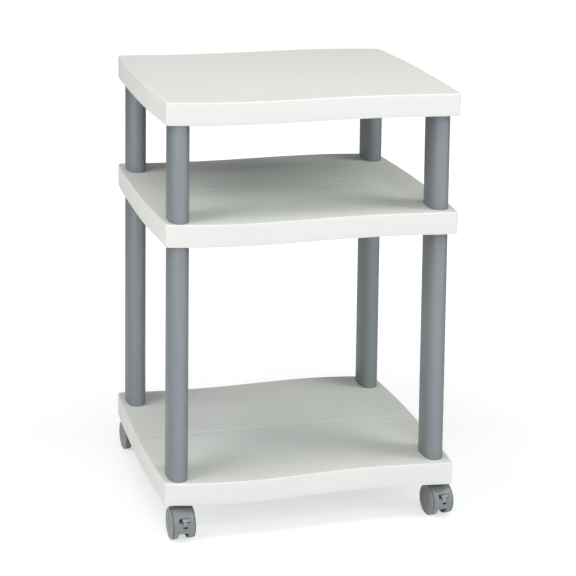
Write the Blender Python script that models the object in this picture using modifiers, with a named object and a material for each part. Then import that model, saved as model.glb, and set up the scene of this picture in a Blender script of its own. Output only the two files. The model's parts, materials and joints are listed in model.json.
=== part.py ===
"""Mobile printer stand: three wave-edged moulded shelves, eight oval posts and four hooded
twin-wheel casters.

Frame: origin on the floor under the middle of the stand, +X right, +Y back, +Z up. Metres.
"""

import math

import bmesh
import bpy
from mathutils import Matrix, Vector

# ---------------------------------------------------------------- shared dimensions
MM = 0.001
GAP = 0.4 * MM  # between pieces that touch

TOP_HEIGHT = 743 * MM  # upper face of each shelf
MIDDLE_HEIGHT = 540 * MM
BOTTOM_HEIGHT = 99 * MM
SKIRT = 38 * MM  # full height of a shelf
DECK = 3.2 * MM  # thickness of a shelf's deck
UNDERSIDE = BOTTOM_HEIGHT - SKIRT  # lower edge of the bottom shelf

POST_X = 224.7 * MM
POST_Y = 187.0 * MM
POST_SHIFT = 1.0 * MM  # front posts sit this far to the right, rear ones to the left
SWIVEL_OUTBOARD = 2 * MM  # swivel axis beyond the post's axis, to the front or back
SWIVEL_RIGHT = 2 * MM  # and this far to its right
STEM_R = 5.5 * MM  # upper part of a caster's stem

# corner name: (side, end), -1 for left and front, 1 for right and rear
CORNERS = {
    "front_left": (-1, -1),
    "front_right": (1, -1),
    "rear_left": (-1, 1),
    "rear_right": (1, 1),
}
POSTS = {
    corner: (side * POST_X - end * POST_SHIFT, end * POST_Y)
    for corner, (side, end) in CORNERS.items()
}
SWIVELS = {
    corner: (x + SWIVEL_RIGHT, y + CORNERS[corner][1] * SWIVEL_OUTBOARD)
    for corner, (x, y) in POSTS.items()
}

# ---------------------------------------------------------------- scene and materials
for old in list(bpy.data.objects):
    bpy.data.objects.remove(old, do_unlink=True)


def new_collection(name):
    made = bpy.data.collections.new(name)
    bpy.context.scene.collection.children.link(made)
    return made


stand = new_collection("printer_stand")
helpers = new_collection("cutters")


def material(name, colour, roughness, metallic=0.0):
    made = bpy.data.materials.new(name)
    made.use_nodes = True
    shader = made.node_tree.nodes["Principled BSDF"]
    shader.inputs["Base Color"].default_value = (*colour, 1.0)
    shader.inputs["Roughness"].default_value = roughness
    shader.inputs["Metallic"].default_value = metallic
    made.diffuse_color = (*colour, 1.0)
    return made


SHELF_PLASTIC = material("pale_grey_shelf_plastic", colour=(0.80, 0.80, 0.78), roughness=0.55)
POST_PLASTIC = material("blue_grey_post_plastic", colour=(0.26, 0.29, 0.31), roughness=0.40)
CASTER_PLASTIC = material("grey_caster_plastic", colour=(0.22, 0.25, 0.26), roughness=0.38)
WHEEL_PLASTIC = material("grey_wheel_plastic", colour=(0.24, 0.27, 0.27), roughness=0.42)
STEEL = material("bright_steel", colour=(0.55, 0.56, 0.57), roughness=0.28, metallic=1.0)


# ---------------------------------------------------------------- solids
def around(middle, half):
    """The range reaching half to each side of middle."""
    return middle - half, middle + half


def add_helper(name, mesh):
    obj = bpy.data.objects.new(name, mesh)
    helpers.objects.link(obj)
    return obj


def wire_object(name, bm):
    mesh = bpy.data.meshes.new(name)
    bm.to_mesh(mesh)
    bm.free()
    return add_helper(name, mesh)


def solid_object(name, bm):
    bmesh.ops.recalc_face_normals(bm, faces=bm.faces)
    return wire_object(name, bm)


def loft(name, levels, closed=False):
    """Skin over (ring, height) levels of equal point count, capped, or joined end to end."""
    bm = bmesh.new()
    loops = [[bm.verts.new((p.x, p.y, z)) for p in ring] for ring, z in levels]
    following = loops[1:] + loops[:1] if closed else loops[1:]
    for lower, upper in zip(loops, following):
        for k in range(len(lower)):
            m = (k + 1) % len(lower)
            bm.faces.new((lower[k], lower[m], upper[m], upper[k]))
    if not closed:
        bm.faces.new(loops[0])
        bm.faces.new(loops[-1])
    return solid_object(name, bm)


def prism(name, ring, low, high):
    return loft(name, [(ring, low), (ring, high)])


def tube(name, outer, inner, low, high):
    """Upright tube between two rings of equal point count."""
    return loft(name, [(outer, low), (outer, high), (inner, high), (inner, low)], closed=True)


def block(name, x_range, y_range, z_range):
    low, high = (Vector(corner) for corner in zip(x_range, y_range, z_range))
    bm = bmesh.new()
    bmesh.ops.create_cube(bm, size=1.0)
    bmesh.ops.scale(bm, vec=high - low, verts=bm.verts)
    bmesh.ops.translate(bm, vec=(low + high) / 2, verts=bm.verts)
    return solid_object(name, bm)


def rod(name, radius, low, high, steps, axis="Z", centre=(0.0, 0.0, 0.0)):
    """Cylinder along an axis through centre, from low to high measured from centre."""
    bm = bmesh.new()
    bmesh.ops.create_cone(
        bm, cap_ends=True, segments=steps, radius1=radius, radius2=radius, depth=high - low
    )
    bmesh.ops.translate(bm, vec=(0, 0, (low + high) / 2), verts=bm.verts)
    if axis == "X":
        lay_down = Matrix.Rotation(math.pi / 2, 3, "Y")
        bmesh.ops.rotate(bm, cent=(0, 0, 0), matrix=lay_down, verts=bm.verts)
    bmesh.ops.translate(bm, vec=centre, verts=bm.verts)
    return solid_object(name, bm)


def bake(obj):
    """Turns obj's modifiers into a welded mesh facing out."""
    bpy.context.view_layer.update()
    graph = bpy.context.evaluated_depsgraph_get()
    mesh = bpy.data.meshes.new_from_object(obj.evaluated_get(graph))
    bm = bmesh.new()
    bm.from_mesh(mesh)
    bmesh.ops.remove_doubles(bm, verts=bm.verts, dist=1e-6)
    bmesh.ops.recalc_face_normals(bm, faces=bm.faces)
    bm.to_mesh(mesh)
    bm.free()
    obj.modifiers.clear()
    obj.data = mesh
    return obj


def turned(name, profile, steps):
    """Profile of (radius, height) points turned about the Z axis."""
    bm = bmesh.new()
    points = [bm.verts.new((radius, 0, z)) for radius, z in profile]
    for start, end in zip(points, points[1:]):
        bm.edges.new((start, end))
    obj = wire_object(name, bm)
    screw = obj.modifiers.new("turn", "SCREW")
    screw.axis = "Z"
    screw.steps = screw.render_steps = steps
    screw.use_merge_vertices = True
    screw.merge_threshold = 1e-5
    return bake(obj)


def combine(obj, operation, others):
    """Applies each of the others to obj, one after another, and removes them."""
    for other in others:
        change = obj.modifiers.new(other.name, "BOOLEAN")
        change.operation = operation
        change.solver = "EXACT"
        change.object = other
    bake(obj)
    for other in others:
        bpy.data.objects.remove(other, do_unlink=True)
    return obj


def cut(obj, *others):
    return combine(obj, "DIFFERENCE", others)


def join(obj, *others):
    return combine(obj, "UNION", others)


def intersect(obj, *others):
    return combine(obj, "INTERSECT", others)


def finish(obj, name, mat):
    """Names the piece, gives it its material and moves it to the stand's collection."""
    helpers.objects.unlink(obj)
    stand.objects.link(obj)
    obj.name = name
    obj.data.name = name
    obj.data.materials.clear()
    obj.data.materials.append(mat)
    obj.data.shade_smooth()
    obj.data.set_sharp_from_angle(angle=math.radians(35.0))


# ---------------------------------------------------------------- shelf outline
CORNER_W = 498 * MM  # between the side corners of a shelf
CORNER_D = 458 * MM  # between the front and back corners
CORNER_R = 7 * MM
CORNER_R_LEAST = 1.5 * MM  # for an outline moved inwards
CORNER_STEPS = 3
SLANT = 9.7 * MM  # left corners sit this far back, right ones this far forward
FRONT_STEPS = 16
SIDE_STEPS = 8

# cubic coefficients, lowest power first, of an edge's distance from the line between its corners
FRONT_WAVE = (-3.1 * MM, 30.2 * MM, -7.6 * MM, -10.6 * MM)  # backwards, from left to right
LEFT_BULGE = (7.2 * MM, -1.6 * MM, 1.4 * MM, 6.6 * MM)  # outwards, from front to back


def edge_offset(t, coefficients):
    """Distance of an edge from its straight line, t running -1 to 1; zero at both corners."""
    return (1 - t * t) * sum(c * t**power for power, c in enumerate(coefficients))


def shrink(ring, distance):
    """The ring moved inwards by a constant distance."""
    out = []
    for i, p in enumerate(ring):
        before = (p - ring[i - 1]).normalized()
        after = (ring[(i + 1) % len(ring)] - p).normalized()
        normal_before = Vector((-before.y, before.x))
        normal_after = Vector((-after.y, after.x))
        scale = distance / (1 + normal_before.dot(normal_after))
        out.append(p + (normal_before + normal_after) * scale)
    return out


def fillet(ring, corners, radius):
    """The ring with an arc in place of each corner point."""
    out = []
    for i, p in enumerate(ring):
        if i not in corners:
            out.append(p)
            continue
        to_last = (ring[i - 1] - p).normalized()
        to_next = (ring[(i + 1) % len(ring)] - p).normalized()
        half_angle = to_last.angle(to_next) / 2
        reach = radius / math.tan(half_angle)
        centre = p + (to_last + to_next).normalized() * (radius / math.sin(half_angle))
        start = p + to_last * reach - centre
        end = p + to_next * reach - centre
        start_angle = math.atan2(start.y, start.x)
        end_angle = math.atan2(end.y, end.x)
        if end_angle < start_angle:
            end_angle += 2 * math.pi
        for k in range(CORNER_STEPS + 1):
            angle = start_angle + (end_angle - start_angle) * k / CORNER_STEPS
            out.append(centre + radius * Vector((math.cos(angle), math.sin(angle))))
    return out


def plan(inset=0.0):
    """Anticlockwise outline of a shelf, the same when turned half way round."""
    half_w, half_d = CORNER_W / 2, CORNER_D / 2
    half = []
    for i in range(FRONT_STEPS):
        u = -1 + 2 * i / FRONT_STEPS
        half.append(Vector((half_w * u, -half_d - SLANT * u + edge_offset(u, FRONT_WAVE))))
    for i in range(SIDE_STEPS):
        v = -1 + 2 * i / SIDE_STEPS
        half.append(Vector((half_w + edge_offset(-v, LEFT_BULGE), -SLANT + half_d * v)))
    ring = half + [-p for p in half]
    corners = {0, FRONT_STEPS, len(half), len(half) + FRONT_STEPS}
    if inset:
        ring = shrink(ring, inset)
    return fillet(ring, corners, max(CORNER_R - inset, CORNER_R_LEAST))


# ---------------------------------------------------------------- post and round sections
POST_HALF_W = 17.5 * MM
POST_HALF_D = 33.9 * MM
POST_EXPONENT = 2.45  # of the superellipse
POST_WALL = 2.4 * MM
LINER_WALL = 2.0 * MM
RING_STEPS = 24


def ring_angles():
    return [2 * math.pi * i / RING_STEPS for i in range(RING_STEPS)]


def oval(grow=0.0, centre=(0.0, 0.0)):
    """Anticlockwise ring of a post's section, moved outwards by grow."""

    def reach(half_size, ratio):
        return (half_size + grow) * math.copysign(abs(ratio) ** (2 / POST_EXPONENT), ratio)

    x, y = centre
    return [
        Vector((x + reach(POST_HALF_W, math.cos(t)), y + reach(POST_HALF_D, math.sin(t))))
        for t in ring_angles()
    ]


def circle(radius, centre):
    x, y = centre
    return [
        Vector((x + radius * math.cos(t), y + radius * math.sin(t))) for t in ring_angles()
    ]


def liner(name, low, high, centre=(0.0, 0.0)):
    """Oval tube that fits inside a post."""
    outside = -POST_WALL - GAP
    return tube(name, oval(outside, centre), oval(outside - LINER_WALL, centre), low, high)


# ---------------------------------------------------------------- shelves
SKIRT_WALL = 3.0 * MM
EDGE_R = 1.8 * MM  # rounding of the upper edge
FAR = 0.3  # past every edge of a shelf
DECK_OVERLAP = 1.2 * MM  # how far sockets and bosses run up into the deck

RIB_DEPTH = 20 * MM
RIB_WALL = 2.4 * MM
RIB_OVERLAP = 0.6 * MM  # up into the deck
RIB_X = (-120 * MM, 0.0, 120 * MM)  # ribs that run front to back
RIB_Y = {"front": -110 * MM, "rear": 110 * MM}  # ribs that run left to right

COLLAR_WALL = 2.2 * MM
TOP_COLLAR_DEPTH = 24 * MM
MIDDLE_COLLAR_DEPTH = 20 * MM
SPIGOT_HEIGHT = 34 * MM
BOSS_R = 9.5 * MM

SEAM_GAP = 0.5 * MM  # between the two halves of a split shelf
FLANGE_WALL = 2.6 * MM
FLANGE_DEPTH = 22 * MM
REAR_FLANGE_Y = 13 * MM  # set back, so that the lap fits between it and the joint
LAP_Y = 11 * MM  # rear edge of the lap
LAP_T = 2.4 * MM
LAP_SIDE_MARGIN = 6 * MM
# front-to-back ribs end inside the flanges
RIB_SPAN = {"front": (-FAR, -1.0 * MM), "rear": (REAR_FLANGE_Y + 1 * MM, FAR)}


def shelf_shell(top):
    """Skirted tray, open below, with a rounded upper edge."""
    low, ceiling = top - SKIRT, top - DECK
    hollow, outline = plan(SKIRT_WALL), plan()
    return loft(
        "shell",
        [
            (hollow, ceiling),
            (hollow, low),
            (outline, low),
            (outline, top - EDGE_R),
            (plan(0.3 * EDGE_R), top - 0.3 * EDGE_R),
            (plan(EDGE_R), top),
        ],
    )


def trim(obj, top):
    """Keeps an addition inside the shelf's outer faces."""
    return intersect(obj, prism("inside", plan(1.0 * MM), top - SKIRT, top - 0.5 * MM))


def ribs(top, rib_ys, y_span):
    """Crossing ribs under the deck. The two directions differ in height so no faces coincide."""
    low, high = top - DECK - RIB_DEPTH, top - DECK + RIB_OVERLAP
    half = RIB_WALL / 2
    made = [block("rib", around(x, half), y_span, (low, high)) for x in RIB_X]
    for y in rib_ys:
        z_range = (low + 1.5 * MM, high + 0.3 * MM)
        made.append(block("rib", (-FAR, FAR), around(y, half), z_range))
    return [trim(rib, top) for rib in made]


def collar(top, corner, depth):
    """Oval socket under the deck that holds the upper end of a post."""
    centre = POSTS[corner]
    outer, inner = oval(GAP + COLLAR_WALL, centre), oval(GAP, centre)
    return trim(tube("collar", outer, inner, top - DECK - depth, top - DECK + DECK_OVERLAP), top)


def deck_hole(top, corner):
    """Cutter for the oval opening in the deck that a post coupler passes through."""
    ring = oval(-POST_WALL + 0.1 * MM, POSTS[corner])
    return prism("opening", ring, top - DECK - 2 * MM, top + 2 * MM)


def spigot(corner):
    """Hollow oval stub on the bottom deck that fits inside the lower end of a post."""
    low, high = BOTTOM_HEIGHT - 0.8 * MM, BOTTOM_HEIGHT + SPIGOT_HEIGHT
    return liner("spigot", low, high, POSTS[corner])


def caster_boss(corner):
    """Round boss in the bottom shelf that a caster's stem is pressed into."""
    outer, inner = circle(BOSS_R, SWIVELS[corner]), circle(STEM_R + GAP, SWIVELS[corner])
    low, high = UNDERSIDE + 0.5 * MM, BOTTOM_HEIGHT - DECK + DECK_OVERLAP
    return tube("boss", outer, inner, low, high)


def seam_parts(top, end_name):
    """Flange under the deck along the joint; the front one carries a lap under the rear deck."""
    z_range = (top - DECK - FLANGE_DEPTH, top - DECK + 1.5 * MM)
    if end_name == "rear":
        y_range = (REAR_FLANGE_Y, REAR_FLANGE_Y + FLANGE_WALL)
        return [trim(block("flange", (-FAR, FAR), y_range, z_range), top)]
    near, far = SEAM_GAP / 2, SEAM_GAP / 2 + FLANGE_WALL
    lap_high = top - DECK - GAP
    lap = block(
        "lap",
        around(0, CORNER_W / 2 - LAP_SIDE_MARGIN),
        (-far + 0.4 * MM, LAP_Y),
        (lap_high - LAP_T, lap_high),
    )
    return [trim(block("flange", (-FAR, FAR), (-far, -near), z_range), top), lap]


def half_shell(shell, end_name):
    """Front or rear half of a shell, cut along a left-to-right line at mid depth."""
    half = add_helper("half", shell.data.copy())
    waste_y = (-SEAM_GAP / 2, FAR) if end_name == "front" else (-FAR, SEAM_GAP / 2)
    return cut(half, block("waste", (-FAR, FAR), waste_y, (0.0, 1.0)))


def build_top_shelf():
    """One moulding, with a collar for each upper post."""
    rib_ys = (RIB_Y["front"], 0.0, RIB_Y["rear"])
    shelf = join(
        shelf_shell(TOP_HEIGHT),
        *ribs(TOP_HEIGHT, rib_ys, (-FAR, FAR)),
        *[collar(TOP_HEIGHT, corner, TOP_COLLAR_DEPTH) for corner in POSTS],
    )
    finish(shelf, "top_shelf", SHELF_PLASTIC)


def build_split_shelf(level, top):
    """Two mouldings lapped along the middle."""
    whole = shelf_shell(top)
    for end_name in ("front", "rear"):
        half = half_shell(whole, end_name)
        corners = [corner for corner in POSTS if corner.startswith(end_name)]
        added = ribs(top, (RIB_Y[end_name],), RIB_SPAN[end_name]) + seam_parts(top, end_name)
        if level == "middle":
            added += [collar(top, corner, MIDDLE_COLLAR_DEPTH) for corner in corners]
            half = cut(half, *[deck_hole(top, corner) for corner in corners])
        else:
            added += [caster_boss(corner) for corner in corners]
            added += [spigot(corner) for corner in corners]
        finish(join(half, *added), f"{level}_shelf_{end_name}", SHELF_PLASTIC)
    bpy.data.objects.remove(whole, do_unlink=True)


build_top_shelf()
build_split_shelf("middle", MIDDLE_HEIGHT)
build_split_shelf("bottom", BOTTOM_HEIGHT)

# ---------------------------------------------------------------- posts and couplers
COUPLER_REACH = 46 * MM  # above and below the middle of the middle deck


def build_posts(run, low, high):
    for corner, (x, y) in POSTS.items():
        post = tube("post", oval(), oval(-POST_WALL), low, high)
        post.location = (x, y, 0)
        finish(post, f"{run}_post_{corner}", POST_PLASTIC)


def build_couplers():
    """Oval tubes through the middle shelf, inside the posts above and below it."""
    for corner, (x, y) in POSTS.items():
        coupler = liner("coupler", *around(MIDDLE_HEIGHT - DECK / 2, COUPLER_REACH))
        coupler.location = (x, y, 0)
        finish(coupler, "post_coupler_" + corner, POST_PLASTIC)


build_posts("upper", MIDDLE_HEIGHT + GAP, TOP_HEIGHT - DECK - GAP)
build_posts("lower", BOTTOM_HEIGHT + GAP, MIDDLE_HEIGHT - DECK - GAP)
build_couplers()

# ---------------------------------------------------------------- casters
# Each is modelled with its swivel axis on the Z axis, the floor at zero and its hood
# facing -Y, then turned to its heading.
HEADINGS = {  # degrees; 0 has the hood facing the front
    "front_left": 3.0,
    "front_right": 9.0,
    "rear_left": 185.0,
    "rear_right": 171.0,
}
BRAKED = ("front_left", "front_right")
PAST = 80 * MM  # past every edge of a caster

WHEEL_R = 26.0 * MM
WHEEL_INNER = 8.6 * MM  # inner face of a wheel, from the caster's middle
WHEEL_OUTER = 20.3 * MM  # outer face
RIM_INNER_R = 21.5 * MM
HUB_R = 7 * MM
WHEEL_RECESS = 6 * MM  # depth of the ring-shaped recess between hub and rim
AXLE_R = 3.0 * MM
AXLE_HALF = 15.4 * MM
BORE_PLAY = 0.3 * MM
AXLE_Y = -21.5 * MM  # the axle is in front of the swivel axis
AXLE_Z = WHEEL_R
AXLE_POINT = (0.0, AXLE_Y, AXLE_Z)

HOOD_R = 27.6 * MM
CAVITY_R = HOOD_R - 1.2 * MM  # inside of the hood's skin
HOOD_HALF = 17.6 * MM
HOOD_LOW = 15.8 * MM  # lower edge above the floor
HOOD_STEPS = 40
WEB_HALF = 5.8 * MM  # central web between the wheels
NECK_R = 8.6 * MM  # housing's upright boss, and the stem's flange over it
SWIVEL_R = 4.0 * MM  # lower part of the stem

PIVOT_BORE_R = 1.6 * MM
EAR_X = 4.4 * MM
EAR_HALF = 0.9 * MM
BAR_X = 3.4 * MM  # middle of the lever's crossbar
BAR_HALF = 6.8 * MM
TAIL_X = 1.4 * MM  # middle of the lever's tail
TAIL_HALF = 2.9 * MM
SLOT_HALF = 3.7 * MM
ARM_HALF = 1.8 * MM


def on_axle(obj):
    """Moves a shape made about the origin to the axle."""
    obj.data.transform(Matrix.Translation(AXLE_POINT))
    return obj


def axle_rod(name, radius, low, high, steps):
    return on_axle(rod(name, radius, low, high, steps, "X"))


def hood_point(degrees, radius=HOOD_R):
    """(y, z) at a radius from the axle and an angle above the horizontal, towards the front."""
    angle = math.radians(degrees)
    return AXLE_Y - radius * math.cos(angle), AXLE_Z + radius * math.sin(angle)


def hood_height(degrees, radius=HOOD_R):
    return hood_point(degrees, radius)[1]


PIVOT_Y, PIVOT_Z = hood_point(26, 18.5 * MM)
PIVOT_POINT = (0.0, PIVOT_Y, PIVOT_Z)


def pivot_rod(name, radius, half, steps):
    return rod(name, radius, -half, half, steps, "X", PIVOT_POINT)


def lever_room():
    """Cutter that takes the web back to a chord in front of the axle and spares the skin."""
    room = block(
        "lever_room",
        around(0, WEB_HALF + 1 * MM),
        (AXLE_Y - HOOD_R, AXLE_Y - 9.5 * MM),
        (HOOD_LOW - 1 * MM, AXLE_Z + 20.2 * MM),
    )
    return intersect(room, axle_rod("within", CAVITY_R - 0.05 * MM, -PAST, PAST, HOOD_STEPS))


def fit_for_lever(body):
    """Adds two ears for the lever's pins and opens a T-shaped window in the hood."""
    ears = [
        block(
            "ear",
            around(side * EAR_X, EAR_HALF),
            (AXLE_Y - 17.5 * MM, AXLE_Y - 8.8 * MM),
            (PIVOT_Z - 2.8 * MM, PIVOT_Z + 13 * MM),
        )
        for side in (-1, 1)
    ]
    bar_window = block(
        "window",
        (-8.7 * MM, 11 * MM),
        (AXLE_Y - PAST, AXLE_Y - 17.8 * MM),
        (hood_height(18), hood_height(33.5)),
    )
    tail_slot = block(
        "slot",
        around(TAIL_X, SLOT_HALF),
        (AXLE_Y - PAST, AXLE_Y - 20 * MM),
        (hood_height(-3), hood_height(24)),
    )
    pivot_bore = pivot_rod("pivot_bore", PIVOT_BORE_R, 7 * MM, 16)
    return cut(join(body, *ears), pivot_bore, bar_window, tail_slot)


def housing(braked):
    """Hood over both wheels, with a central web and an upright boss for the stem."""
    body = join(
        axle_rod("hood", HOOD_R, -HOOD_HALF, HOOD_HALF, HOOD_STEPS),
        rod("boss", NECK_R, AXLE_Z, UNDERSIDE - 3.2 * MM, 20),
    )
    cutters = [
        block("below", (-PAST, PAST), (-PAST, PAST), (-PAST, HOOD_LOW)),
        axle_rod("left_cavity", CAVITY_R, -PAST, -WEB_HALF, HOOD_STEPS),
        axle_rod("right_cavity", CAVITY_R, WEB_HALF, PAST, HOOD_STEPS),
        axle_rod("bore", AXLE_R + BORE_PLAY, -PAST, PAST, 20),
        rod("swivel_bore", SWIVEL_R + BORE_PLAY, AXLE_Z + 4 * MM, PAST, 20),
    ]
    if braked:
        cutters.append(lever_room())
    body = cut(body, *cutters)
    return fit_for_lever(body) if braked else body


def wheel(side):
    """Wheel with a closed outer face, on the left (-1) or right (1) of the caster."""
    recess = WHEEL_INNER + WHEEL_RECESS
    bore_r, bore_end = AXLE_R + BORE_PLAY, WHEEL_OUTER - 3 * MM
    profile = [  # radius, distance from the caster's middle
        (0.0, WHEEL_OUTER),
        (WHEEL_R - 5 * MM, WHEEL_OUTER - 0.4 * MM),
        (WHEEL_R, WHEEL_OUTER - 1.6 * MM),
        (WHEEL_R, WHEEL_INNER),
        (RIM_INNER_R, WHEEL_INNER),
        (RIM_INNER_R, recess),
        (HUB_R, recess),
        (HUB_R, WHEEL_INNER),
        (bore_r, WHEEL_INNER),
        (bore_r, bore_end),
        (0.0, bore_end),
    ]
    made = turned("wheel", profile, steps=22)
    made.data.transform(Matrix.Rotation(math.pi / 2, 4, "Y"))
    if side < 0:
        made.data.transform(Matrix.Rotation(math.pi, 4, "Z"))
    return on_axle(made)


def stem():
    """Upper part is pressed into the shelf's boss; the housing turns on the lower part."""
    top, foot = UNDERSIDE + 30 * MM, AXLE_Z + 5 * MM
    flange_top, flange_low = UNDERSIDE + 0.1 * MM, UNDERSIDE - 2.6 * MM
    chamfer = 1 * MM
    profile = [  # radius, height
        (0.0, top),
        (STEM_R - chamfer, top),
        (STEM_R, top - chamfer),
        (STEM_R, flange_top),
        (NECK_R, flange_top),
        (NECK_R, flange_low),
        (SWIVEL_R, flange_low),
        (SWIVEL_R, foot),
        (0.0, foot),
    ]
    return turned("stem", profile, steps=16)


def lever():
    """T-shaped brake lever: crossbar and tail follow the hood, on an arm with a pivot."""
    outer, inner = HOOD_R + 0.5 * MM, HOOD_R - 1.1 * MM
    bar_low, bar_high, tail_low = (hood_height(angle, outer) for angle in (21, 30.5, 5))
    bar = block(
        "bar",
        around(BAR_X, BAR_HALF),
        (AXLE_Y - PAST, AXLE_Y - 8 * MM),
        (bar_low, bar_high),
    )
    tail = block(
        "tail",
        around(TAIL_X, TAIL_HALF),
        (AXLE_Y - PAST + 1 * MM, AXLE_Y - 9 * MM),
        (tail_low, bar_low + 2 * MM),
    )
    face = axle_rod("face", outer, -12 * MM, 12 * MM, 48)
    face = cut(face, axle_rod("inside", inner, -20 * MM, 20 * MM, 48))
    face = intersect(face, join(bar, tail))
    arm = block(
        "arm",
        around(0, ARM_HALF),
        (AXLE_Y - 26 * MM, PIVOT_Y),
        around(PIVOT_Z, ARM_HALF),
    )
    barrel = pivot_rod("barrel", 2.4 * MM, 2.9 * MM, 16)
    pins = pivot_rod("pins", 1.3 * MM, 5.2 * MM, 12)
    return join(face, arm, barrel, pins)


def add_swivel(corner):
    """Empty on the floor under a caster's stem, turned to the caster's heading."""
    x, y = SWIVELS[corner]
    swivel = bpy.data.objects.new("swivel_" + corner, None)
    stand.objects.link(swivel)
    swivel.empty_display_size = 0.02
    turn = Matrix.Rotation(math.radians(HEADINGS[corner]), 4, "Z")
    swivel.matrix_world = Matrix.Translation((x, y, 0)) @ turn
    return swivel


def place(pattern, swivel, name, mat, origin=(0.0, 0.0, 0.0)):
    """A copy of a pattern under the caster's swivel, with its own origin where it turns."""
    mesh = pattern.data.copy()
    mesh.transform(Matrix.Translation(-Vector(origin)))
    piece = add_helper(name, mesh)
    piece.parent = swivel
    piece.location = origin
    finish(piece, name, mat)


def build_caster(corner, patterns):
    swivel = add_swivel(corner)
    braked = corner in BRAKED
    # a caster turned round to the rear has its left wheel on the stand's right
    facing = math.cos(math.radians(HEADINGS[corner]))
    left_is_outer = CORNERS[corner][0] * facing < 0
    left, right = ("outer", "inner") if left_is_outer else ("inner", "outer")

    def add(pattern, prefix, mat, *origin):
        place(patterns[pattern], swivel, f"{prefix}_{corner}", mat, *origin)

    add("housing_braked" if braked else "housing_plain", "caster_housing", CASTER_PLASTIC)
    add("axle", "caster_axle", STEEL, AXLE_POINT)
    add("wheel_left", "caster_wheel_" + left, WHEEL_PLASTIC, AXLE_POINT)
    add("wheel_right", "caster_wheel_" + right, WHEEL_PLASTIC, AXLE_POINT)
    add("stem", "caster_stem", STEEL)
    if braked:
        add("lever", "brake_lever", CASTER_PLASTIC, PIVOT_POINT)


def build_casters():
    patterns = {
        "housing_plain": housing(braked=False),
        "housing_braked": housing(braked=True),
        "wheel_left": wheel(-1),
        "wheel_right": wheel(1),
        "axle": axle_rod("axle", AXLE_R, -AXLE_HALF, AXLE_HALF, 16),
        "stem": stem(),
        "lever": lever(),
    }
    for corner in CORNERS:
        build_caster(corner, patterns)
    for pattern in patterns.values():
        bpy.data.objects.remove(pattern, do_unlink=True)


build_casters()
bpy.context.view_layer.update()
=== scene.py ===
"""Looks of the mobile printer stand: fine moulded shelves, oval posts, hooded casters, procedural plastics and studio light."""

import json
import math

import bmesh
import bpy
from mathutils import Matrix, Vector

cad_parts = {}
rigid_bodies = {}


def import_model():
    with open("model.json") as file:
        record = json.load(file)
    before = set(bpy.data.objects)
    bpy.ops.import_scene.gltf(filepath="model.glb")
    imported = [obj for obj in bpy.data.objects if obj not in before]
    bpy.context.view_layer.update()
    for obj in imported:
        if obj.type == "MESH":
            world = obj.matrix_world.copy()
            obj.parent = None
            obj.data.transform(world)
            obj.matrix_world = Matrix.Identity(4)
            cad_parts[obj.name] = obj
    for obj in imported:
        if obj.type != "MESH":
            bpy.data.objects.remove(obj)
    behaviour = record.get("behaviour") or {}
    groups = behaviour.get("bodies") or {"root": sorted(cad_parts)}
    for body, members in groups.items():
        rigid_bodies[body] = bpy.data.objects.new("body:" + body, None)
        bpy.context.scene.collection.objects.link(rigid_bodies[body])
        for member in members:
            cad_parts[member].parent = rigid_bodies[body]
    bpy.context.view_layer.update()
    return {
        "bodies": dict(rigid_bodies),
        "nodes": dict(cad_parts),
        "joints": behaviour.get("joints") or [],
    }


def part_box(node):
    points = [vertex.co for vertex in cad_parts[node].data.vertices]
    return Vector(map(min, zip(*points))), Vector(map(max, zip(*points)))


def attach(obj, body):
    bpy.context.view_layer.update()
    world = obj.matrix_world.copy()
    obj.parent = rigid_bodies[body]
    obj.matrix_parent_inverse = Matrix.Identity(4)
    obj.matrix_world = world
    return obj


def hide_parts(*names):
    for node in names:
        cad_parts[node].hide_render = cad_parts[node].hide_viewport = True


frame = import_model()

# ---------------------------------------------------------------- measures
MM = 0.001
ENDS = (("front", -1), ("rear", 1))
PLACES = ("front_left", "front_right", "rear_left", "rear_right")
GAP = 0.4 * MM
SKIN = 3.2 * MM
SHELF_T = 38 * MM
WALL = 3.0 * MM
CORNER_R = 7 * MM
EDGE_R = 2.2 * MM
SEAM = 0.5 * MM

CORNER_W, CORNER_D = 498 * MM, 458 * MM
SLANT = 9.7 * MM
WAVE = (-3.1 * MM, 30.2 * MM, -7.6 * MM, -10.6 * MM)
SIDE = (7.2 * MM, -1.6 * MM, 1.4 * MM, 6.6 * MM)

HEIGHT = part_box("top_shelf")[1].z
MIDDLE_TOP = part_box("middle_shelf_front")[1].z
BOTTOM_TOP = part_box("lower_post_front_left")[0].z - GAP
UNDERSIDE = BOTTOM_TOP - SHELF_T

POSTS = {}
for place in PLACES:
    low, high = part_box("upper_post_" + place)
    POSTS[place] = ((low.x + high.x) / 2, (low.y + high.y) / 2)
POST_A = (high.x - low.x) / 2
POST_B = (high.y - low.y) / 2
POST_N = 2.45
POST_WALL = 2.4 * MM

JOINTS = {j["name"]: j for j in frame["joints"]}
WHEEL_R = 26.0 * MM
WHEEL_IN, WHEEL_OUT = 8.6 * MM, 20.3 * MM
HOOD_R = 27.6 * MM
HOOD_SHELL = 1.2 * MM
HOOD_HALF = 17.6 * MM
HOOD_LOW = 15.8 * MM
WEB_HALF = 5.8 * MM
AXLE_R = 3.0 * MM
STEM_R, SWIVEL_R = 5.5 * MM, 4.0 * MM
AXLE_Y, AXLE_Z = -21.5 * MM, 26.0 * MM

shown = bpy.data.collections.new("printer_stand_looks")
bpy.context.scene.collection.children.link(shown)
spare = bpy.data.collections.new("spare")
bpy.context.scene.collection.children.link(spare)


# ---------------------------------------------------------------- curves in plan and in section
def wave(u):
    return (1 - u * u) * (WAVE[0] + WAVE[1] * u + WAVE[2] * u**2 + WAVE[3] * u**3)


def bulge(v):
    return (1 - v * v) * (SIDE[0] + SIDE[1] * v + SIDE[2] * v**2 + SIDE[3] * v**3)


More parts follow.
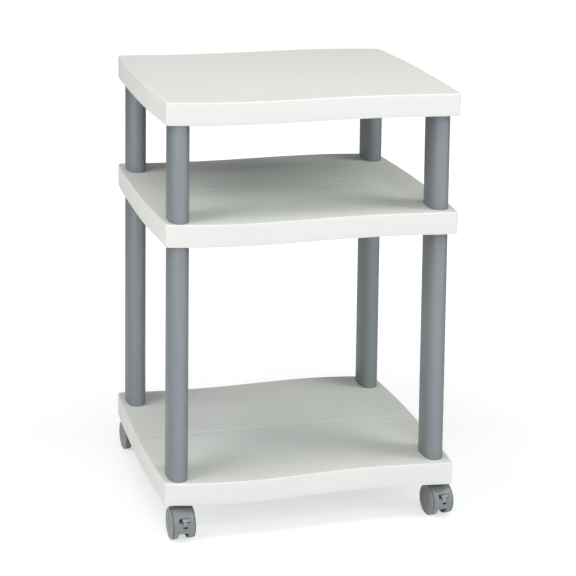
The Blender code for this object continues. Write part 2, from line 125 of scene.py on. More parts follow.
def plan(inset=0.0, along=72, across=48):
    """Anticlockwise ring of a shelf's outline, moved in by inset, with rounded corners."""
    w, d = CORNER_W / 2, CORNER_D / 2
    half = []
    for i in range(along):
        u = -1 + 2 * i / along
        half.append(Vector((w * u, -d - SLANT * u + wave(u))))
    for i in range(across):
        v = -1 + 2 * i / across
        half.append(Vector((w + bulge(-v), -SLANT + d * v)))
    ring = half + [-p for p in half]
    if inset:
        ring = shrink(ring, inset)
    return fillet(ring, {0, along, along + across, 2 * along + across}, max(CORNER_R - inset, 1.5 * MM))


def shrink(ring, by):
    out = []
    for i, p in enumerate(ring):
        before = (p - ring[i - 1]).normalized()
        after = (ring[(i + 1) % len(ring)] - p).normalized()
        n1, n2 = Vector((-before.y, before.x)), Vector((-after.y, after.x))
        out.append(p + (n1 + n2) * (by / (1 + n1.dot(n2))))
    return out


def arc(p, a, b, radius, steps):
    """Points of a rounded corner at p between the directions a and b."""
    half = a.angle(b) / 2
    centre = p + (a + b).normalized() * (radius / math.sin(half))
    start, end = p + a * (radius / math.tan(half)) - centre, p + b * (radius / math.tan(half)) - centre
    a0, a1 = math.atan2(start.y, start.x), math.atan2(end.y, end.x)
    turn = (a1 - a0 + math.pi) % (2 * math.pi) - math.pi
    return [
        centre + radius * Vector((math.cos(a0 + turn * k / steps), math.sin(a0 + turn * k / steps)))
        for k in range(steps + 1)
    ]


def fillet(ring, corners, radius, steps=9):
    """The ring with an arc at each corner. The points that the arc swallows are moved on to it."""
    out = []
    for i, p in enumerate(ring):
        if i not in corners:
            out.append(p)
            continue
        a, b = (ring[i - 1] - p).normalized(), (ring[(i + 1) % len(ring)] - p).normalized()
        out.extend(arc(p, a, b, radius, steps))
    return tidy(out)


def tidy(ring, least=0.05 * MM):
    """Moves points that fold back on the ring, without changing how many there are."""
    n = len(ring)
    for _ in range(12):
        moved = False
        for i in range(n):
            a, p, b = ring[i - 1], ring[i], ring[(i + 1) % n]
            if (p - a).dot(b - a) <= 0 or (b - p).dot(b - a) <= 0 or (p - a).length < least:
                ring[i] = (a + b) / 2
                moved = True
        if not moved:
            break
    return ring


def oval(grow=0.0, steps=96, centre=(0.0, 0.0)):
    a, b = POST_A + grow, POST_B + grow
    ring = []
    for i in range(steps):
        t = 2 * math.pi * i / steps
        c, s = math.cos(t), math.sin(t)
        ring.append(
            Vector(
                (
                    centre[0] + a * math.copysign(abs(c) ** (2 / POST_N), c),
                    centre[1] + b * math.copysign(abs(s) ** (2 / POST_N), s),
                )
            )
        )
    return ring


def eased(points, closed=True, steps=4):
    """(x, y, radius) corners made into (x, y) points, with an arc where the radius isn't zero."""
    out = []
    n = len(points)
    for i, (x, y, r) in enumerate(points):
        if r <= 0 or (not closed and i in (0, n - 1)):
            out.append((x, y))
            continue
        p = Vector((x, y))
        a = (Vector(points[i - 1][:2]) - p).normalized()
        b = (Vector(points[(i + 1) % n][:2]) - p).normalized()
        out.extend((q.x, q.y) for q in arc(p, a, b, r, steps))
    return out


# ---------------------------------------------------------------- solids
def wrap(name, bm):
    bmesh.ops.remove_doubles(bm, verts=bm.verts, dist=2e-6)
    bmesh.ops.recalc_face_normals(bm, faces=bm.faces)
    mesh = bpy.data.meshes.new(name)
    bm.to_mesh(mesh)
    bm.free()
    obj = bpy.data.objects.new(name, mesh)
    spare.objects.link(obj)
    return obj


def loft(name, levels, closed=False):
    """Skin over rings of equal count, each with its height. Its ends are capped, or joined when closed."""
    bm = bmesh.new()
    loops = [[bm.verts.new((p[0], p[1], z)) for p in ring] for ring, z in levels]
    for a, b in zip(loops, loops[1:] + (loops[:1] if closed else [])):
        for k in range(len(a)):
            m = (k + 1) % len(a)
            bm.faces.new((a[k], a[m], b[m], b[k]))
    if not closed:
        bm.faces.new(loops[0])
        bm.faces.new(loops[-1])
    return wrap(name, bm)


def lathe(name, profile, steps=96, axis="Z", closed=False):
    """(radius, height) points turned about Z, or about X."""
    bm = bmesh.new()
    loops = []
    for r, h in profile:
        if r < 1e-7:
            loops.append([bm.verts.new((0, 0, h))])
        else:
            loops.append(
                [
                    bm.verts.new((r * math.cos(2 * math.pi * k / steps), r * math.sin(2 * math.pi * k / steps), h))
                    for k in range(steps)
                ]
            )
    for a, b in zip(loops, loops[1:] + (loops[:1] if closed else [])):
        for k in range(steps):
            m = (k + 1) % steps
            corners = []
            for v in (a[k % len(a)], a[m % len(a)], b[m % len(b)], b[k % len(b)]):
                if v not in corners:
                    corners.append(v)
            if len(corners) > 2:
                bm.faces.new(corners)
    if axis == "X":
        bmesh.ops.rotate(bm, cent=(0, 0, 0), matrix=Matrix.Rotation(math.pi / 2, 3, "Y"), verts=bm.verts)
    return wrap(name, bm)


def prism(name, outline, low, high, frame_axes=("x", "y", "z")):
    """Flat outline swept between two distances. frame_axes say which way outline x, outline y and the sweep run."""
    bm = bmesh.new()
    slot = {"x": 0, "y": 1, "z": 2}
    sides = []
    for d in (low, high):
        ring = []
        for p in outline:
            co = [0.0, 0.0, 0.0]
            co[slot[frame_axes[0]]], co[slot[frame_axes[1]]], co[slot[frame_axes[2]]] = p[0], p[1], d
            ring.append(bm.verts.new(co))
        sides.append(ring)
        bm.faces.new(ring)
    n = len(outline)
    for k in range(n):
        bm.faces.new((sides[0][k], sides[0][(k + 1) % n], sides[1][(k + 1) % n], sides[1][k]))
    return wrap(name, bm)


def box(low, high, ease=0.0, axis="z"):
    """Block with its edges along one axis rounded."""
    names = {"z": ("x", "y", "z"), "y": ("x", "z", "y"), "x": ("y", "z", "x")}[axis]
    pick = [{"x": 0, "y": 1, "z": 2}[n] for n in names]
    l0, h0, l1, h1 = low[pick[0]], high[pick[0]], low[pick[1]], high[pick[1]]
    outline = eased([(l0, l1, ease), (h0, l1, ease), (h0, h1, ease), (l0, h1, ease)])
    return prism("block", outline, low[pick[2]], high[pick[2]], names)


def placed(obj, x=0.0, y=0.0, z=0.0):
    obj.data.transform(Matrix.Translation((x, y, z)))
    return obj


def gather(*objs):
    """Separate solids that don't touch, as one mesh."""
    bm = bmesh.new()
    for obj in objs:
        bm.from_mesh(obj.data)
        bpy.data.objects.remove(obj, do_unlink=True)
    return wrap("gathered", bm)


def settle(obj):
    """Applies obj's modifiers."""
    bpy.context.view_layer.update()
    mesh = bpy.data.meshes.new_from_object(obj.evaluated_get(bpy.context.evaluated_depsgraph_get()))
    obj.modifiers.clear()
    obj.data = mesh
    return obj


def combine(obj, operation, others):
    for other in others:
        change = obj.modifiers.new("change", "BOOLEAN")
        change.operation = operation
        change.solver = "EXACT"
        change.object = other
    settle(obj)
    for other in others:
        bpy.data.objects.remove(other, do_unlink=True)
    bm = bmesh.new()
    bm.from_mesh(obj.data)
    bmesh.ops.remove_doubles(bm, verts=bm.verts, dist=3e-6)
    bmesh.ops.dissolve_degenerate(bm, edges=bm.edges, dist=3e-6)
    bmesh.ops.recalc_face_normals(bm, faces=bm.faces)
    bm.to_mesh(obj.data)
    bm.free()
    return obj


def cut(obj, *others):
    return combine(obj, "DIFFERENCE", others)


def join(obj, *others):
    return combine(obj, "UNION", others)


def soften(obj, width, segments=2, angle=35.0):
    """Small rounding on every edge sharper than angle."""
    bevel = obj.modifiers.new("soften", "BEVEL")
    bevel.width = width
    bevel.segments = segments
    bevel.limit_method = "ANGLE"
    bevel.angle_limit = math.radians(angle)
    bevel.use_clamp_overlap = True
    bevel.harden_normals = False
    return settle(obj)


def duplicate(obj):
    made = bpy.data.objects.new(obj.name, obj.data.copy())
    spare.objects.link(made)
    return made


def piece(obj, name, body, mat, nodes, angle=32.0, place=None):
    """Finished piece: named, painted, riding on its body and standing for its CAD nodes."""
    if place is not None:
        obj.data.transform(place)
    for held in list(obj.users_collection):
        held.objects.unlink(obj)
    shown.objects.link(obj)
    obj.name = name
    obj.data.name = name
    obj.data.materials.clear()
    obj.data.materials.append(mat)
    obj.data.shade_smooth()
    obj.data.set_sharp_from_angle(angle=math.radians(angle))
    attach(obj, body)
    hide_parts(*nodes)
    return obj


# ---------------------------------------------------------------- materials
class Paint:
    """A node material built step by step."""

    def __init__(self, name):
        self.mat = bpy.data.materials.new(name)
        self.mat.use_nodes = True
        self.tree = self.mat.node_tree
        self.shader = self.tree.nodes["Principled BSDF"]
        self.coords = self.tree.nodes.new("ShaderNodeTexCoord")
        self.geometry = self.tree.nodes.new("ShaderNodeNewGeometry")

    def link(self, a, b):
        self.tree.links.new(a, b)

    def stretched(self, scale):
        node = self.tree.nodes.new("ShaderNodeMapping")
        node.inputs["Scale"].default_value = scale
        self.link(self.coords.outputs["Object"], node.inputs["Vector"])
        return node.outputs["Vector"]

    def noise(self, scale, detail=3.0, roughness=0.5, stretch=None, distortion=0.0):
        node = self.tree.nodes.new("ShaderNodeTexNoise")
        node.inputs["Scale"].default_value = scale
        node.inputs["Detail"].default_value = detail
        node.inputs["Roughness"].default_value = roughness
        node.inputs["Distortion"].default_value = distortion
        source = self.stretched(stretch) if stretch else self.coords.outputs["Object"]
        self.link(source, node.inputs["Vector"])
        return node.outputs["Fac"]

    def cells(self, scale, feature="F1"):
        node = self.tree.nodes.new("ShaderNodeTexVoronoi")
        node.feature = feature
        node.inputs["Scale"].default_value = scale
        self.link(self.coords.outputs["Object"], node.inputs["Vector"])
        return node.outputs["Distance"]

    def spread(self, value, low, high, to_low=0.0, to_high=1.0):
        node = self.tree.nodes.new("ShaderNodeMapRange")
        node.clamp = True
        for key, x in (("From Min", low), ("From Max", high), ("To Min", to_low), ("To Max", to_high)):
            node.inputs[key].default_value = x
        self.link(value, node.inputs["Value"])
        return node.outputs["Result"]

    def sum(self, a, b, operation="ADD"):
        node = self.tree.nodes.new("ShaderNodeMath")
        node.operation = operation
        for k, x in enumerate((a, b)):
            if isinstance(x, (int, float)):
                node.inputs[k].default_value = x
            else:
                self.link(x, node.inputs[k])
        return node.outputs["Value"]

    def mix(self, share, a, b):
        """Colour mix. a and b are colours or sockets."""
        node = self.tree.nodes.new("ShaderNodeMix")
        node.data_type = "RGBA"
        self.link(share, node.inputs["Factor"])
        for key, x in ((6, a), (7, b)):
            if isinstance(x, tuple):
                node.inputs[key].default_value = (*x, 1.0)
            else:
                self.link(x, node.inputs[key])
        return node.outputs[2]

    def height(self):
        split = self.tree.nodes.new("ShaderNodeSeparateXYZ")
        self.link(self.coords.outputs["Object"], split.inputs["Vector"])
        return split.outputs["Z"]

    def turned(self, low, high):
        """0 where the surface looks at the viewer, 1 where it turns away."""
        node = self.tree.nodes.new("ShaderNodeLayerWeight")
        node.inputs["Blend"].default_value = 0.5
        return self.spread(node.outputs["Facing"], low, high)

    def bump(self, value, distance, strength=1.0, onto=None):
        node = self.tree.nodes.new("ShaderNodeBump")
        node.inputs["Strength"].default_value = strength
        node.inputs["Distance"].default_value = distance
        self.link(value, node.inputs["Height"])
        if onto is not None:
            self.link(onto, node.inputs["Normal"])
        return node.outputs["Normal"]

    def done(self, colour, roughness, normal, **values):
        self.link(colour, self.shader.inputs["Base Color"])
        self.link(roughness, self.shader.inputs["Roughness"])
        self.link(normal, self.shader.inputs["Normal"])
        for key, x in values.items():
            self.shader.inputs[key.replace("_", " ")].default_value = x
        return self.mat


def shade(colour, by):
    return tuple(max(0.0, c * by) for c in colour)


def moulded(name, colour, roughness, grain=0.010, mottle=0.03, edge=1.06, dust=0.0, specular=0.5):
    """Injection moulded plastic: fine spark grain, faint flow mottling, a painted highlight on convex edges, which are
    also a little smoother, painted shade in concave corners, and optional dust low down near the floor.
    """
    p = Paint(name)
    flow = p.spread(p.noise(7.0, 2.0, 0.5, distortion=0.6), 0.3, 0.7)
    speck = p.spread(p.noise(420.0, 3.0, 0.6), 0.3, 0.7)
    fine = p.noise(2600.0, 2.0, 0.55)
    base = p.mix(flow, shade(colour, 1 - mottle), shade(colour, 1 + mottle * 0.7))
    base = p.mix(p.spread(speck, 0.0, 1.0, 0.0, 0.35), base, shade(colour, 1 - mottle * 1.5))
    # painted highlight: convex edges are painted lighter by the edge factor; the same mask makes them a little smoother
    painted_highlight_edges = p.spread(p.geometry.outputs["Pointiness"], 0.52, 0.62, 0.0, 0.55)
    base = p.mix(painted_highlight_edges, base, shade(colour, edge))
    # painted shade: concave corners and creases are painted darker
    painted_crease_shade = p.spread(p.geometry.outputs["Pointiness"], 0.40, 0.49, 0.30, 0.0)
    base = p.mix(painted_crease_shade, base, shade(colour, 0.72))
    if dust:
        low = p.spread(p.height(), 0.0, 0.03, dust, 0.0)
        patch = p.sum(low, p.spread(p.noise(90.0, 4.0, 0.65), 0.35, 0.7), "MULTIPLY")
        base = p.mix(patch, base, (0.46, 0.44, 0.40))
    rough = p.sum(
        p.spread(p.noise(38.0, 4.0, 0.6), 0.25, 0.75, roughness - 0.07, roughness + 0.06),
        p.spread(painted_highlight_edges, 0.0, 0.55, 0.0, 0.10),
        "SUBTRACT",
    )
    normal = p.bump(fine, grain * MM, 0.55)
    normal = p.bump(p.noise(14.0, 2.0, 0.4), 0.10 * MM, 0.25, normal)
    return p.done(base, rough, normal, Specular_IOR_Level=specular)


def extruded(name, colour, roughness):
    """Extruded post plastic: faint lines along its length over a satin skin, with a painted highlight on its edges and
    painted shade where it turns away from the view.
    """
    p = Paint(name)
    lines = p.noise(1.0, 3.0, 0.55, stretch=(900.0, 900.0, 3.0))
    broad = p.spread(p.noise(1.0, 2.0, 0.5, stretch=(60.0, 60.0, 5.0)), 0.3, 0.7)
    fine = p.noise(1500.0, 2.0, 0.5)
    base = p.mix(broad, shade(colour, 0.965), shade(colour, 1.035))
    base = p.mix(p.spread(lines, 0.35, 0.7, 0.0, 0.35), base, shade(colour, 1.10))
    scuff = p.spread(p.noise(55.0, 5.0, 0.7, distortion=1.5), 0.62, 0.74, 0.0, 0.30)
    base = p.mix(scuff, base, shade(colour, 1.25))
    # painted highlight: convex edges are painted lighter
    painted_highlight_edges = p.spread(p.geometry.outputs["Pointiness"], 0.54, 0.64, 0.0, 0.5)
    base = p.mix(painted_highlight_edges, base, shade(colour, 1.35))
    rough = p.sum(
        p.spread(p.noise(30.0, 3.0, 0.6), 0.25, 0.75, roughness - 0.05, roughness + 0.07),
        p.sum(scuff, 0.25, "MULTIPLY"),
        "ADD",
    )
    normal = p.bump(lines, 0.02 * MM, 0.35)
    normal = p.bump(fine, 0.006 * MM, 0.35, normal)
    # painted shade: the post is painted darker where its surface turns away from the view
    base = p.mix(p.turned(0.03, 0.65), base, shade(colour, 0.68))
    return p.done(base, rough, normal)


def steel(name, colour=(0.55, 0.56, 0.57)):
    p = Paint(name)
    rings = p.noise(1.0, 4.0, 0.6, stretch=(120.0, 120.0, 2600.0))
    stain = p.spread(p.noise(240.0, 4.0, 0.6), 0.5, 0.75, 0.0, 0.5)
    base = p.mix(p.spread(rings, 0.3, 0.7), shade(colour, 0.82), shade(colour, 1.12))
    base = p.mix(stain, base, (0.30, 0.27, 0.24))
    rough = p.spread(rings, 0.3, 0.7, 0.24, 0.40)
    return p.done(base, rough, p.bump(rings, 0.01 * MM, 0.4), Metallic=1.0)


# edge sets how much lighter the painted highlight on convex edges is
SHELF = moulded("pale_shelf_plastic", (0.80, 0.80, 0.775), 0.50, mottle=0.012, edge=1.03)
POST = extruded("blue_grey_post_plastic", (0.249, 0.278, 0.297), 0.36)
COUPLER = extruded("coupler_plastic", (0.20, 0.22, 0.235), 0.45)
HOOD = moulded("caster_hood_plastic", (0.218, 0.242, 0.250), 0.34, mottle=0.06, edge=1.35, dust=0.25, specular=0.6)
LEVER = moulded("brake_lever_plastic", (0.270, 0.295, 0.300), 0.36, mottle=0.06, edge=1.5)
WHEEL = moulded("caster_wheel_plastic", (0.250, 0.272, 0.275), 0.44, mottle=0.06, edge=1.25, dust=0.65)
STEEL = steel("bright_steel")


# ---------------------------------------------------------------- shelves
def shelf_shell(top):
    """Skirted tray, open below: drafted walls, rounded rim, filleted ceiling and a rounded upper edge."""
    low, ceiling = top - SHELF_T, top - SKIN
    inner_r, rim = 2.0 * MM, 0.7 * MM
    thin = WALL - 0.4 * MM  # wall at the rim
    levels = [(plan(WALL + inner_r + 1.5 * MM), ceiling)]
    for k in range(5):
        a = math.pi / 2 * k / 4
        levels.append((plan(WALL + inner_r * (1 - math.sin(a))), ceiling - inner_r * (1 - math.cos(a))))
    levels.append((plan(thin + 0.2 * MM), (ceiling + low) / 2))
    for k in range(4):
        a = math.pi / 2 * k / 3
        levels.append((plan(thin - rim * (1 - math.cos(a))), low + rim * (1 - math.sin(a))))
    for k in range(4):
        a = math.pi / 2 * k / 3
        levels.append((plan(rim * (1 - math.sin(a))), low + rim * (1 - math.cos(a))))
    for share in (0.25, 0.5, 0.75):
        levels.append((plan(0.0), low + (SHELF_T - EDGE_R) * share))
    for k in range(8):
        a = math.pi / 2 * k / 7
        levels.append((plan(EDGE_R * (1 - math.cos(a))), top - EDGE_R * (1 - math.sin(a))))
    levels.append((plan(EDGE_R + 0.6 * MM), top))
    levels.append((plan(EDGE_R + 4 * MM), top))
    return loft("shell", levels)


FAR = 0.3
RIB_DEPTH = 20 * MM


def rib(top, along, at, low_end, high_end, drop=0.0, lift=0.0):
    """Tapered rib with an eased lower edge, hanging under the deck."""
    high, low = top - SKIN + 0.6 * MM + lift, top - SKIN - RIB_DEPTH + drop
    wide, slim = 1.35 * MM, 1.0 * MM
    section = eased(
        [(at - slim, low, 0.5 * MM), (at + slim, low, 0.5 * MM), (at + wide, high, 0), (at - wide, high, 0)], steps=3
    )
    if along == "y":
        return prism("rib", section, low_end, high_end, ("x", "z", "y"))
    return prism("rib", section, low_end, high_end, ("y", "z", "x"))


def tube(name, outer, inner, low, high, ease):
    """Oval tube with rounded rims."""
    rings = []
    for k in range(4):
        a = math.pi / 2 * k / 3
        rings.append((outer, -ease * (1 - math.sin(a)), low + ease * (1 - math.cos(a))))
    for k in range(4):
        a = math.pi / 2 * k / 3
        rings.append((outer, -ease * (1 - math.cos(a)), high - ease * (1 - math.sin(a))))
    for k in range(4):
        a = math.pi / 2 * k / 3
        rings.append((inner, ease * (1 - math.sin(a)), high - ease * (1 - math.cos(a))))
    for k in range(4):
        a = math.pi / 2 * k / 3
        rings.append((inner, ease * (1 - math.cos(a)), low + ease * (1 - math.sin(a))))
    levels = [(oval(base + grow), z) for base, grow, z in rings]
    return loft(name, levels, closed=True)


def collar(top, place, depth):
    made = tube("collar", GAP + 2.2 * MM, GAP, top - SKIN - depth, top - SKIN + 1.2 * MM, 0.5 * MM)
    return placed(made, *POSTS[place])


def inside(top):
    """Room within the skirt's wall."""
    return loft("inside", [(plan(1.0 * MM), top - SHELF_T), (plan(1.0 * MM), top - 0.5 * MM)])


def framework(parts, top):
    """Ribs, collars and flanges joined to each other, and trimmed to the skirt."""
    return combine(join(parts[0], *parts[1:]), "INTERSECT", [inside(top)])


X_RIBS = (-120 * MM, 0.0, 120 * MM)


def half_shell(top, front):
    """One half of a split shelf's shell, its new face filled and its edges eased."""
    bm = bmesh.new()
    whole = shelf_shell(top)
    bm.from_mesh(whole.data)
    bpy.data.objects.remove(whole, do_unlink=True)
    at = -SEAM / 2 if front else SEAM / 2
    cut_edges = bmesh.ops.bisect_plane(
        bm,
        geom=bm.verts[:] + bm.edges[:] + bm.faces[:],
        plane_co=(0, at, 0),
        plane_no=(0, 1 if front else -1, 0),
        clear_outer=True,
        dist=1e-7,
    )["geom_cut"]
    edges = [e for e in cut_edges if isinstance(e, bmesh.types.BMEdge)]
    face = bmesh.ops.contextual_create(bm, geom=edges)["faces"]
    bmesh.ops.recalc_face_normals(bm, faces=bm.faces)
    section = face[0]
    upper = []
    for e in section.edges:
        a, b = e.verts
        if min(a.co.z, b.co.z) > top - 0.05 * MM:
            upper.append(e)
    bmesh.ops.bevel(
        bm,
        geom=upper,
        offset=0.28 * MM,
        offset_type="OFFSET",
        segments=4,
        profile=0.5,
        affect="EDGES",
        clamp_overlap=True,
    )
    half = wrap("half", bm)
    if front:
        return half
    # the rear half has a broken edge along the seam, which catches the light
    edge, over = 1.3 * MM, 1.0 * MM
    outline = [(at - over, top + over), (at - over, top - edge - over), (at + edge + over, top + over)]
    return cut(half, prism("wedge", outline, -FAR, FAR, ("y", "z", "x")))


def swivel_xy(place):
    at = JOINTS["swivel_" + place]["pos_m"]
    return at[0], at[1]


def heading(place):
    axis = JOINTS[f"wheel_outer_{place}_spin"]["axis"]
    return math.atan2(axis[1], axis[0])


top_shelf = shelf_shell(HEIGHT)
top_ribs = [rib(HEIGHT, "y", x, -FAR, FAR) for x in X_RIBS]
top_ribs += [rib(HEIGHT, "x", y, -FAR, FAR, 1.5 * MM, 0.3 * MM) for y in (-110 * MM, 0.0, 110 * MM)]
top_ribs += [collar(HEIGHT, place, 24 * MM) for place in PLACES]
join(top_shelf, framework(top_ribs, HEIGHT))
piece(top_shelf, "top_shelf_moulding", "stand", SHELF, ["top_shelf"])

for level, top in (("middle", MIDDLE_TOP), ("bottom", BOTTOM_TOP)):
    for half_name, end in ENDS:
        front = end < 0
        places = [p for p in PLACES if p.startswith(half_name)]
        half = half_shell(top, front)
        y_low, y_high = (-FAR, -1.2 * MM) if front else (14 * MM, FAR)
        parts = [rib(top, "y", x, y_low, y_high) for x in X_RIBS]
        parts.append(rib(top, "x", end * 110 * MM, -FAR, FAR, 1.5 * MM, 0.3 * MM))
        low, high = top - SKIN - 22 * MM, top - SKIN + 1.5 * MM
        near, far = SEAM / 2 + 0.1 * MM, SEAM / 2 + 2.6 * MM
        if front:
            parts.append(box((-FAR, -far, low), (FAR, -near, high), 0.3 * MM, "x"))
        else:
            parts.append(box((-FAR, 13 * MM, low), (FAR, 15.6 * MM, high), 0.3 * MM, "x"))
        if level == "middle":
            parts += [collar(top, p, 20 * MM) for p in places]
        else:
            for p in places:
                x, y = swivel_xy(p)
                low, high, r = UNDERSIDE + 0.5 * MM, BOTTOM_TOP - SKIN + 1.2 * MM, 9.5 * MM
                hole = STEM_R + GAP
                ring = [(hole, low, 0.4 * MM), (r, low, 0.5 * MM), (r + 0.3 * MM, high, 0), (hole, high, 0)]
                parts.append(placed(lathe("boss", eased(ring), 72, closed=True), x, y))
        grid = framework(parts, top)
        extra = [grid]
        if front:
            reach = CORNER_W / 2 - 6 * MM
            lap_high = top - SKIN - GAP
            extra.append(
                box(
                    (-reach, -far + 0.4 * MM, lap_high - 2.4 * MM),
                    (reach, 11 * MM, lap_high),
                    0.4 * MM,
                    "x",
                )
            )
        if level == "middle":
            for p in places:
                hole = loft("hole", [(oval(-POST_WALL + 0.1 * MM), top - SKIN - 2 * MM), (oval(-POST_WALL + 0.1 * MM), top + 2 * MM)])
                cut(half, placed(hole, *POSTS[p]))
        else:
            for p in places:
                stub = tube("spigot", -POST_WALL - GAP, -POST_WALL - GAP - 2.0 * MM, top - 0.8 * MM, top + 34 * MM, 0.6 * MM)
                extra.append(placed(stub, *POSTS[p]))
        join(half, *extra)
        node = f"{level}_shelf_{half_name}"
        piece(half, node + "_moulding", "stand", SHELF, [node])


# ---------------------------------------------------------------- posts
for run in ("upper", "lower"):
    for place in PLACES:
        node = f"{run}_post_{place}"
        low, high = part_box(node)
        post = tube("post", 0.0, -POST_WALL, low.z, high.z, 0.45 * MM)
        piece(
            post,
            node + "_tube",
            "stand",
            POST,
            [node],
            place=Matrix.Translation((*POSTS[place], 0)),
        )
for place in PLACES:
    node = frame["nodes"]["post_coupler_" + place]
    node.data.materials.clear()
    node.data.materials.append(COUPLER)


# ---------------------------------------------------------------- casters, with the swivel on Z and the hood facing -Y
def on_axle(obj):
    return placed(obj, 0, AXLE_Y, AXLE_Z)


def on_hood(degrees, radius=HOOD_R):
    a = math.radians(degrees)
    return AXLE_Y - radius * math.cos(a), AXLE_Z + radius * math.sin(a)


PIVOT = on_hood(26, 18.5 * MM)
BAR_X, TAIL_X = 3.4 * MM, 1.4 * MM  # the lever's crossbar sits over the right wheel


def housing(braked):
    cavity = HOOD_R - HOOD_SHELL
    bore = AXLE_R + 0.3 * MM
    ring = []
    for s in (1, -1):
        side = [
            (bore, s * WEB_HALF, 0.3 * MM),
            (cavity, s * WEB_HALF, 1.5 * MM),
            (cavity, s * HOOD_HALF, 0.3 * MM),
            (HOOD_R, s * HOOD_HALF, 0.8 * MM),
        ]
        ring += side if s > 0 else side[::-1]
    body = on_axle(lathe("hood", eased(ring), 144, "X", closed=True))
    top = UNDERSIDE - 3.2 * MM
    boss = lathe(
        "boss",
        eased(
            [
                (0.0, AXLE_Z + 5 * MM, 0),
                (8.2 * MM, AXLE_Z + 5 * MM, 0),
                (8.6 * MM, top, 0.8 * MM),
                (0.0, top, 0),
            ],
            closed=False,
        ),
        72,
    )
    body = join(body, boss)
    cutters = [
        box((-0.05, -0.08, -0.02), (0.05, 0.05, HOOD_LOW)),
        placed(lathe("bore", [(0, 0), (SWIVEL_R + 0.3 * MM, 0), (SWIVEL_R + 0.3 * MM, 0.05), (0, 0.05)], 48), 0, 0, AXLE_Z + 4 * MM),
    ]
    if braked:
        room = box(
            (-WEB_HALF - 1 * MM, AXLE_Y - HOOD_R, HOOD_LOW - 1 * MM),
            (WEB_HALF + 1 * MM, AXLE_Y - 9.5 * MM, AXLE_Z + 20.2 * MM),
        )
        reach = cavity - 0.05 * MM
        within = lathe("within", [(0, -0.03), (reach, -0.03), (reach, 0.03), (0, 0.03)], 144, "X")
        cutters.append(combine(room, "INTERSECT", [on_axle(within)]))
    body = cut(body, *cutters)
    if braked:
        py, pz = PIVOT
        ears = [
            box(
                (s * 4.4 * MM - 0.9 * MM, AXLE_Y - 17.5 * MM, pz - 2.8 * MM),
                (s * 4.4 * MM + 0.9 * MM, AXLE_Y - 8.8 * MM, pz + 13 * MM),
                1.2 * MM,
                "x",
            )
            for s in (-1, 1)
        ]
        body = join(body, *ears)
        pin = lathe("pin", [(0, -7 * MM), (1.6 * MM, -7 * MM), (1.6 * MM, 7 * MM), (0, 7 * MM)], 40, "X")
        body = cut(
            body,
            placed(pin, 0, py, pz),
            box(
                (-8.7 * MM, AXLE_Y - 0.04, on_hood(18)[1]),
                (11 * MM, AXLE_Y - 17.8 * MM, on_hood(33.5)[1]),
                0.7 * MM,
                "y",
            ),
            box((TAIL_X - 3.7 * MM, AXLE_Y - 0.04, on_hood(-3)[1]), (TAIL_X + 3.7 * MM, AXLE_Y - 20 * MM, on_hood(24)[1]), 0.9 * MM, "y"),
        )
    return soften(body, 0.3 * MM, 2, 40)


def wheel(side):
    i, o = WHEEL_IN, WHEEL_OUT
    profile = eased(
        [
            (0.0, o - 0.35 * MM, 0),
            (6.4 * MM, o - 0.35 * MM, 0.3 * MM),
            (6.9 * MM, o - 0.9 * MM, 0.2 * MM),
            (7.7 * MM, o - 0.9 * MM, 0.2 * MM),
            (8.2 * MM, o, 0.3 * MM),
            (20.6 * MM, o - 0.45 * MM, 0.3 * MM),
            (21.1 * MM, o - 1.0 * MM, 0.2 * MM),
            (21.9 * MM, o - 1.0 * MM, 0.2 * MM),
            (22.4 * MM, o - 0.5 * MM, 0.3 * MM),
            (WHEEL_R, o - 0.7 * MM, 0.5 * MM),
            (WHEEL_R, o - 1.4 * MM, 0.2 * MM),
            (24.0 * MM, o - 1.5 * MM, 0.2 * MM),
            (24.0 * MM, o - 3.0 * MM, 0.2 * MM),
            (WHEEL_R, o - 3.1 * MM, 0.3 * MM),
            (WHEEL_R, i, 0.8 * MM),
            (21.5 * MM, i, 0.3 * MM),
            (21.3 * MM, i + 6 * MM, 0.8 * MM),
            (7.2 * MM, i + 6 * MM, 0.8 * MM),
            (7 * MM, i, 0.3 * MM),
            (AXLE_R + 0.3 * MM, i, 0.3 * MM),
            (AXLE_R + 0.3 * MM, o - 3 * MM, 0),
            (0.0, o - 3 * MM, 0),
        ],
        closed=False,
    )
    made = lathe("wheel", profile, 120, "X")
    spokes = []
    for k in range(8):
        spoke = box((i + 1.5 * MM, -0.7 * MM, 6.2 * MM), (i + 7 * MM, 0.7 * MM, 22.4 * MM), 0.3 * MM, "z")
        spoke.data.transform(Matrix.Rotation(math.pi * k / 4, 4, "X"))
        spokes.append(spoke)
    made = join(made, gather(*spokes))
    if side < 0:
        made.data.transform(Matrix.Rotation(math.pi, 4, "Z"))
    return on_axle(made)


def axle():
    half, r = 15.4 * MM, AXLE_R
    return on_axle(
        lathe("axle", eased([(0, -half, 0), (r, -half, 0.5 * MM), (r, half, 0.5 * MM), (0, half, 0)], closed=False), 64, "X")
    )


def stem():
    return lathe(
        "stem",
        eased(
            [
                (0.0, UNDERSIDE + 30 * MM, 0),
                (STEM_R - 1 * MM, UNDERSIDE + 30 * MM, 0.3 * MM),
                (STEM_R, UNDERSIDE + 29 * MM, 0.3 * MM),
                (STEM_R, UNDERSIDE + 0.1 * MM, 0.2 * MM),
                (8.6 * MM, UNDERSIDE + 0.1 * MM, 0.5 * MM),
                (8.6 * MM, UNDERSIDE - 2.6 * MM, 0.5 * MM),
                (SWIVEL_R, UNDERSIDE - 2.6 * MM, 0.1 * MM),
                (SWIVEL_R, AXLE_Z + 5 * MM, 0.4 * MM),
                (0.0, AXLE_Z + 5 * MM, 0),
            ],
            closed=False,
            steps=3,
        ),
        72,
    )


